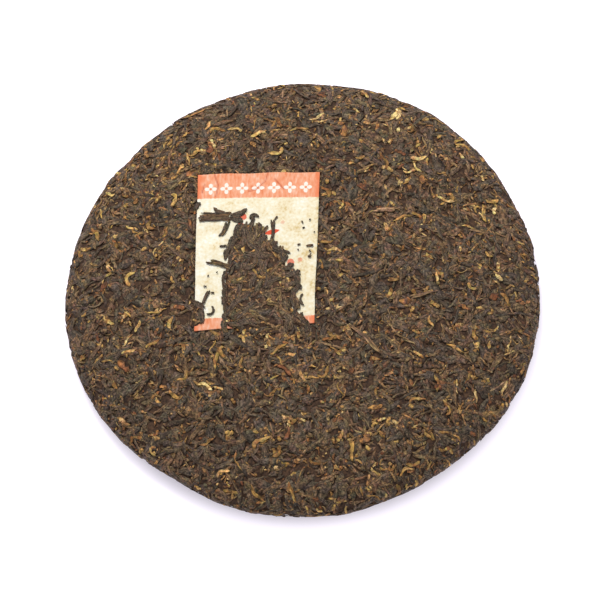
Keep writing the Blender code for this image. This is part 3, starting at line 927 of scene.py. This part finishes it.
def ticketMaterial():
    # Thin uncoated paper stained by the tea, with two worn printed bands, plain ornaments and round marks.
    look = ticketLook
    material, tree, shader = newMaterial("stainedTicketPaper")
    uv = addNode(tree, "ShaderNodeUVMap", uv_map="OFBake")
    wide, long = ticketShape["headWidth"] / mm, ticketShape["length"] / mm
    inMm = addNode(tree, "ShaderNodeVectorMath",
                   {0: uv.outputs["UV"], 1: (wide, long, 0), 2: (-wide / 2, -long / 2, 0)},
                   operation="MULTIPLY_ADD")
    sheet = inMm.outputs[0]
    parts = addNode(tree, "ShaderNodeSeparateXYZ", {"Vector": sheet})

    def maths(operation, *values):
        return addNode(tree, "ShaderNodeMath", dict(enumerate(values)), operation=operation).outputs[0]

    def share(value, start, end):
        # 0 at start, 1 at end.
        node = addNode(tree, "ShaderNodeMapRange", {"Value": value, "From Min": start, "From Max": end})
        return node.outputs[0]

    def noise(scale, detail):
        # Fac of a noise whose lumps are about 1 / scale mm.
        at = addNode(tree, "ShaderNodeVectorMath", {0: sheet, 1: scale}, operation="MULTIPLY")
        node = addNode(tree, "ShaderNodeTexNoise", {"Vector": at.outputs[0], "Scale": 1.0, "Detail": detail})
        return node.outputs[0]

    def mix(amount, first, second):
        return addNode(tree, "ShaderNodeMix", {0: amount, 6: first, 7: second}, data_type="RGBA").outputs[2]

    fray = maths("MULTIPLY_ADD", noise((0.9, 0.9, 0), 3.0), 1.0, -0.5)
    slope = maths("MULTIPLY_ADD", parts.outputs["X"], 0.0105, fray)
    head = share(maths("ADD", parts.outputs["Y"], slope), look["headBand"] - 0.15, look["headBand"] + 0.15)
    footSlope = maths("MULTIPLY_ADD", parts.outputs["X"], 0.03, fray)
    footAt = maths("ADD", parts.outputs["Y"], footSlope)
    foot = share(footAt, look["footBand"] + 0.15, look["footBand"] - 0.15)
    band = maths("MAXIMUM", head, foot)
    # Rosettes of four petals at even gaps: radius below size * (0.25 + 0.75 |cos 2a|), with an open middle.
    fromFirst = maths("MULTIPLY_ADD", parts.outputs["X"], 1 / look["ornamentGap"], 0.5)
    inGap = maths("MULTIPLY_ADD", maths("FRACT", fromFirst), look["ornamentGap"], -0.5 * look["ornamentGap"])
    above = maths("SUBTRACT", parts.outputs["Y"], look["ornamentY"])
    radius = maths("SQRT", maths("ADD", maths("MULTIPLY", inGap, inGap), maths("MULTIPLY", above, above)))
    turn = maths("ARCTAN2", above, inGap)
    petal = maths("ABSOLUTE", maths("COSINE", maths("MULTIPLY", turn, 2.0)))
    reach = maths("MULTIPLY_ADD", petal, 0.75 * look["ornamentSize"], 0.25 * look["ornamentSize"])
    gap = maths("SUBTRACT", reach, maths("MULTIPLY_ADD", fray, 0.7, radius))
    rosette = maths("MULTIPLY", share(gap, -0.1, 0.15), share(radius, 0.5, 0.75))
    within = share(maths("ABSOLUTE", parts.outputs["X"]), 24.2, 24.0)
    rosette = maths("MULTIPLY", rosette, within)
    # Colours: stains in the paper, worn streaks in the ink, fresher ink along the sheet's sides.
    fineStain = maths("MULTIPLY", noise((0.8, 0.8, 0), 5.0), 0.45)
    stain = maths("MULTIPLY_ADD", noise((0.13, 0.17, 0), 4.0), 0.55, fineStain)
    lean = maths("MULTIPLY_ADD", parts.outputs["X"], 0.0016, stain)
    paper = addNode(tree, "ShaderNodeValToRGB", {"Fac": lean})
    setRamp(paper, look["paper"])
    broadWear = maths("MULTIPLY", noise((0.14, 0.2, 0), 2.0), 0.3)
    streak = maths("MULTIPLY_ADD", noise((0.9, 0.28, 0), 4.0), 0.7, broadWear)
    ink = addNode(tree, "ShaderNodeValToRGB", {"Fac": streak})
    setRamp(ink, look["ink"])
    side = share(maths("ABSOLUTE", maths("ADD", parts.outputs["X"], fray)), 23.6, 25.6)
    fresh = mix(maths("MULTIPLY", side, 0.8), ink.outputs["Color"], (*linear(look["freshInk"]), 1))
    inked = mix(rosette, fresh, (*linear(look["ornament"]), 1))
    colour = mix(band, paper.outputs["Color"], inked)
    for x, y, size, strength in look["marks"]:
        apart = addNode(tree, "ShaderNodeVectorMath", {0: sheet, 1: (x, y, 0)}, operation="DISTANCE")
        blot = share(maths("MULTIPLY_ADD", fray, 0.9, apart.outputs["Value"]), size, size - 0.35)
        colour = mix(maths("MULTIPLY", blot, strength), colour, (*linear(look["markInk"]), 1))
    # A plain leaf shape: |across| below half width * (1 - (along / half length) ^ 2).
    leaf = look["leafMark"]
    turned = addNode(tree, "ShaderNodeMapping",
                     {"Vector": sheet, "Location": (leaf["x"], leaf["y"], 0),
                      "Rotation": (0, 0, math.radians(leaf["turn"]))}, vector_type="TEXTURE")
    leafAt = addNode(tree, "ShaderNodeSeparateXYZ", {"Vector": turned.outputs[0]})
    along = maths("DIVIDE", leafAt.outputs["X"], leaf["halfLength"])
    room = maths("MULTIPLY_ADD", maths("MULTIPLY", along, along), -leaf["halfWidth"], leaf["halfWidth"])
    leafInk = share(maths("SUBTRACT", room, maths("ABSOLUTE", leafAt.outputs["Y"])), -0.1, 0.15)
    colour = mix(leafInk, colour, (*linear(look["markInk"]), 1))
    # Painted shade along the creases: darker in the printed bands, faint on the bare paper.
    crease = addNode(tree, "ShaderNodeAttribute", attribute_name="crease").outputs["Fac"]
    paintedCreaseShade = maths("MULTIPLY", crease, maths("MULTIPLY_ADD", band, 0.6, 0.12))
    colour = mix(paintedCreaseShade, colour, (*linear(look["crease"]), 1))
    tree.links.new(colour, shader.inputs["Base Color"])
    fibre = noise((2.2, 2.2, 0), 4.0)
    bump = addNode(tree, "ShaderNodeBump", {"Height": fibre, "Strength": 0.35, "Distance": 0.12 * mm})
    tree.links.new(bump.outputs["Normal"], shader.inputs["Normal"])
    shader.inputs["Roughness"].default_value = 0.85
    shader.inputs["Specular IOR Level"].default_value = 0.2
    return material


def makeTicket():
    # A closed thin sheet: one grid of points above and one below, joined round the edge.
    look, shape = ticketLook, ticketShape
    columns, rows = look["columns"], look["rows"]
    u, v = np.meshgrid(np.linspace(0, 1, columns), np.linspace(0, 1, rows))
    width = shape["footWidth"] + (shape["headWidth"] - shape["footWidth"]) * v
    atSides = np.sign(u - 0.5) * (2 * np.abs(u - 0.5)) ** 6
    edgeX = 0.22 * mm * lumps(0 * u, v * shape["length"], 3 * mm, 7 * mm, 3.0) * atSides
    edgeY = 0.35 * mm * lumps(u * width, 0 * v, 5 * mm, 11 * mm, 4.0) * (2 * np.abs(v - 0.5)) ** 8
    x = shape["x"] + (u - 0.5) * width + edgeX
    y = shape["y"] + (v - 0.5) * shape["length"] + shape["skew"] * (u - 0.5) * (1 - v) + edgeY
    # Soft wrinkles of a paper that dried on the leaves, and a crease across the header band.
    ownX, ownY = (x - shape["x"]) / mm, (y - shape["y"]) / mm
    crease = np.zeros_like(x)
    for path in ([(4, 36), (3, 32), (-1, 28), (-4, 27)], [(-19, 36), (-17, 30), (-18, 25)],
                 [(-24, 27), (-23, 31)], [(7, 33), (11, 28)]):
        for (ax, ay), (bx, by) in zip(path[:-1], path[1:]):
            square = (bx - ax) ** 2 + (by - ay) ** 2
            along = np.clip(((ownX - ax) * (bx - ax) + (ownY - ay) * (by - ay)) / square, 0, 1)
            away = np.hypot(ownX - ax - along * (bx - ax), ownY - ay - along * (by - ay))
            crease = np.maximum(crease, np.exp(-(away / 0.3) ** 2))
    wrinkle = 0.1 * lumps(x, y, 0, 7 * mm, 11.0) + 0.05 * lumps(x, y, 0, 2.6 * mm, 12.0)
    edge = np.minimum(np.minimum(u, 1 - u) * 26, np.minimum(v, 1 - v) * 36)
    sunk = 0.4 * smoothStep(insideCover(x, y) / (1.6 * mm))
    lift = shape["rise"] + ((wrinkle - 0.12 * crease) * np.minimum(edge, 1) - sunk) * mm
    upper = wrap(upperChart, x, y, lift).reshape(-1, 3)
    lower = wrap(upperChart, x, y, lift - look["thickness"]).reshape(-1, 3)
    quads = gridCorners(rows, columns, False)
    size = rows * columns
    rim = np.concatenate([np.arange(columns), np.arange(1, rows) * columns + columns - 1,
                          (rows - 1) * columns + np.arange(columns - 2, -1, -1),
                          np.arange(rows - 2, 0, -1) * columns])
    nextRim = np.roll(rim, -1)
    walls = np.stack([rim, rim + size, nextRim + size, nextRim], -1)
    corners = np.concatenate([quads[:, ::-1], quads + size, walls])
    flatUv = np.tile(np.stack([u.ravel(), v.ravel()], -1), (2, 1))
    ticket = meshPiece("paperTicket", np.concatenate([upper, lower]), corners.ravel(),
                       np.arange(len(corners)) * 4, flatUv[corners.ravel()], ticketMaterial())
    ticket.data.attributes.new("crease", "FLOAT", "POINT").data.foreach_set(
        "value", np.tile(crease.ravel(), 2).astype(np.float32))
    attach(ticket, "root")
    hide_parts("ticket")


makeTicket()
print("ticket made")
